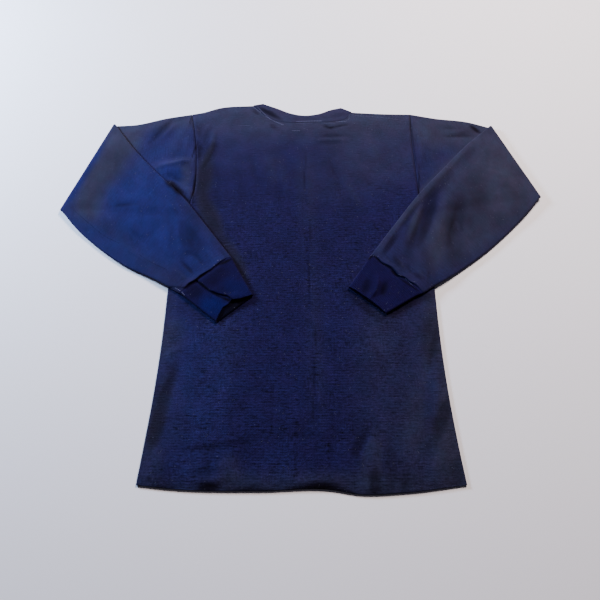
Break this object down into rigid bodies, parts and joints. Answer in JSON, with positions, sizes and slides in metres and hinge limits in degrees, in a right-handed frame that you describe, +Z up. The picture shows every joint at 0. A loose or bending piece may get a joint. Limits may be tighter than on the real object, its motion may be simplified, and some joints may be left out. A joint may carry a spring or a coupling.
{
  "type": "thermal top",
  "caption": "Long-sleeved crew-neck thermal top laid flat face down, with ribbed cuffs and both sleeves folded over its back.",
  "frame": {"origin": "on the surface that the top lies on, below the middle of the laid-out top", "axes": "+X to the wearer's right across the top, +Y from hem to neck, +Z up out of the back"},
  "size_m": [0.9127, 0.7654, 0.0148],
  "materials": {
    "knit": "napped navy cotton knit with fine slubs and lint",
    "sleeve_knit": "napped navy cotton knit with fine slubs and lint",
    "rib": "doubled one-by-one rib, matt",
    "neck_rib": "one-by-one rib with tonal coverstitch"
  },
  "bodies": {
    "root": {"front_panel": "knit", "back_panel": "knit", "sleeve_left": "sleeve_knit", "sleeve_right": "sleeve_knit", "cuff_left": "rib", "cuff_right": "rib", "neckband": "neck_rib"}
  },
  "joints": []
}
